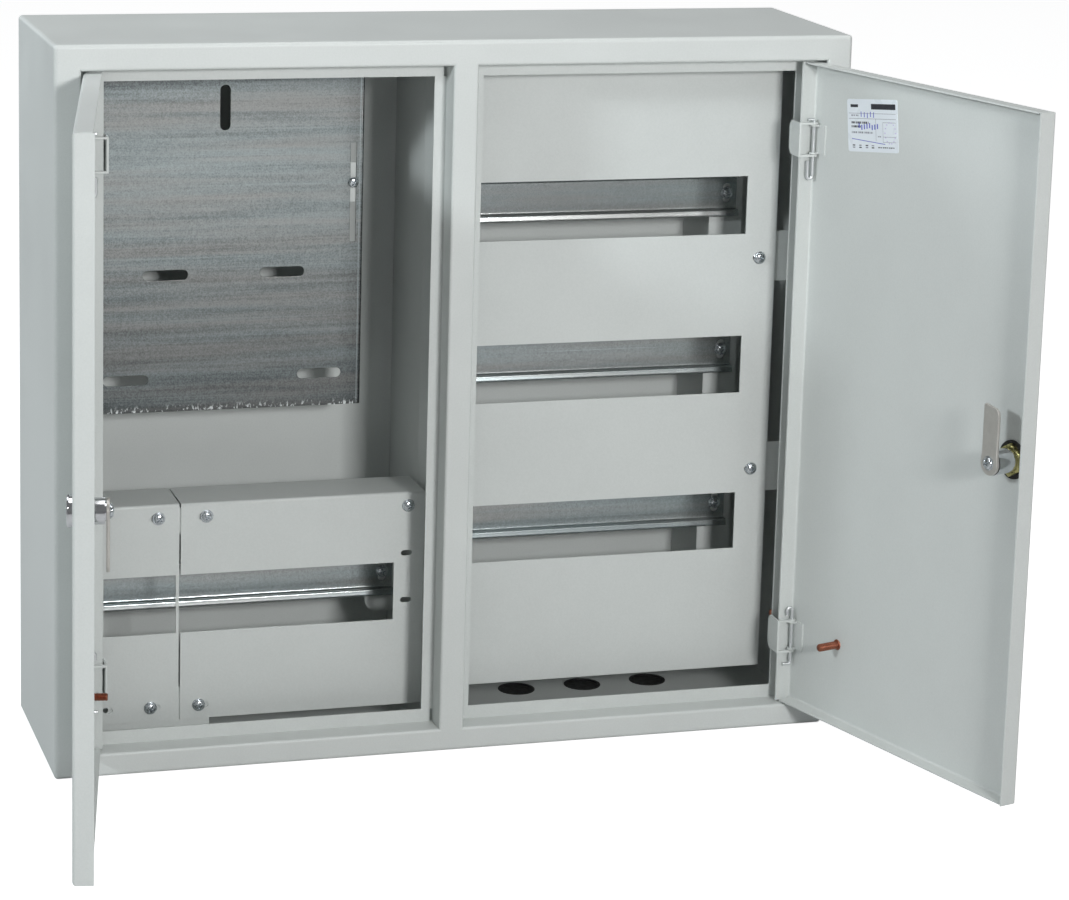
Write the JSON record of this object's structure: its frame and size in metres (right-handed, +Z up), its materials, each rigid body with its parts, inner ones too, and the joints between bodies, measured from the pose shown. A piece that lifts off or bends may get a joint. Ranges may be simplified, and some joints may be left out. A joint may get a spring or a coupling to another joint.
{
  "type": "switchboard cabinet",
  "caption": "Wall-mounted steel switchboard cabinet with hinged doors, a meter compartment and a windowed distribution cover over top-hat rails.",
  "frame": {"origin": "centre of the four wall-mounting holes, on the back face", "axes": "+Y out of the back into the wall, so the doors face -Y; +X to the right seen from the front; +Z up"},
  "size_m": [0.6812, 0.42, 0.54],
  "materials": {
    "powder_coat": "light grey fine-texture powder coat",
    "zinc": "zinc-coated sheet with faint streaks",
    "screw_zinc": "bright zinc plate",
    "zinc_wire": "drawn zinc-plated wire",
    "grommet": "black membrane plug",
    "copper_plate": "copper-plated thread",
    "chrome": "polished",
    "black_washer": "matt",
    "yellow_zinc": "yellow passivated",
    "cam_steel": "nickel plate",
    "label": "satin self-adhesive label"
  },
  "bodies": {
    "cabinet": {"shell_left": "powder_coat", "shell_right": "powder_coat", "shell_top": "powder_coat", "shell_bottom": "powder_coat", "back_panel": "powder_coat", "mullion": "powder_coat", "partition": "powder_coat", "entry_plugs": "grommet", "distribution_cover": "powder_coat", "distribution_cover_brackets": "powder_coat", "distribution_cover_catches": "powder_coat", "din_rail_top": "zinc", "din_rail_middle": "zinc", "din_rail_bottom": "zinc", "din_rail_lower_left": "zinc", "rail_post_left": "powder_coat", "rail_post_right": "powder_coat", "rail_screws": "screw_zinc", "lower_rail_brackets": "powder_coat", "incoming_cover": "powder_coat", "row_cover": "powder_coat", "cover_support_upper": "powder_coat", "cover_support_lower": "powder_coat", "cover_screws": "screw_zinc", "meter_standoffs": "powder_coat", "meter_plate_screws": "screw_zinc", "frame_stud": "copper_plate", "left_hinge_bracket_upper": "powder_coat", "left_hinge_bracket_lower": "powder_coat", "left_hinge_pin_upper": "zinc_wire", "left_hinge_pin_lower": "zinc_wire", "right_hinge_bracket_upper": "powder_coat", "right_hinge_bracket_lower": "powder_coat", "right_hinge_pin_upper": "zinc_wire", "right_hinge_pin_lower": "zinc_wire"},
    "meter_plate": {"meter_plate": "zinc"},
    "left_door": {"left_door": "powder_coat", "left_hinge_leaf_upper": "powder_coat", "left_hinge_leaf_lower": "powder_coat", "left_lock_body": "chrome", "left_lock_washer": "black_washer", "left_lock_nut": "yellow_zinc", "left_door_stud": "copper_plate"},
    "left_lock": {"left_lock_core": "chrome", "left_lock_cam": "cam_steel", "left_lock_screw": "cam_steel"},
    "right_door": {"right_door": "powder_coat", "right_hinge_leaf_upper": "powder_coat", "right_hinge_leaf_lower": "powder_coat", "right_lock_body": "chrome", "right_lock_washer": "black_washer", "right_lock_nut": "yellow_zinc", "right_door_stud": "copper_plate", "rating_label": "label"},
    "right_lock": {"right_lock_core": "chrome", "right_lock_cam": "cam_steel", "right_lock_screw": "cam_steel"}
  },
  "joints": [
    {"name": "right_door_swing", "type": "hinge", "parent": "cabinet", "child": "right_door", "pos_m": [0.2736, -0.16, 0], "axis": [0, 0, 1], "range_deg": [-106, 4]},
    {"name": "left_door_swing", "type": "hinge", "parent": "cabinet", "child": "left_door", "pos_m": [-0.2736, -0.16, 0], "axis": [0, 0, -1], "range_deg": [-101, 9]},
    {"name": "right_lock_turn", "type": "hinge", "parent": "right_door", "child": "right_lock", "pos_m": [0.33978, -0.3908, -0.002], "axis": [0.9613, 0.2756, 0], "range_deg": [0, 90]},
    {"name": "left_lock_turn", "type": "hinge", "parent": "left_door", "child": "left_lock", "pos_m": [-0.31941, -0.39569, -0.002], "axis": [-0.9816, 0.1908, 0], "range_deg": [0, 90]},
    {"name": "meter_plate_slide", "type": "slide", "parent": "cabinet", "child": "meter_plate", "axis": [0, 0, 1], "range_m": [-0.024, 0.01]}
  ]
}
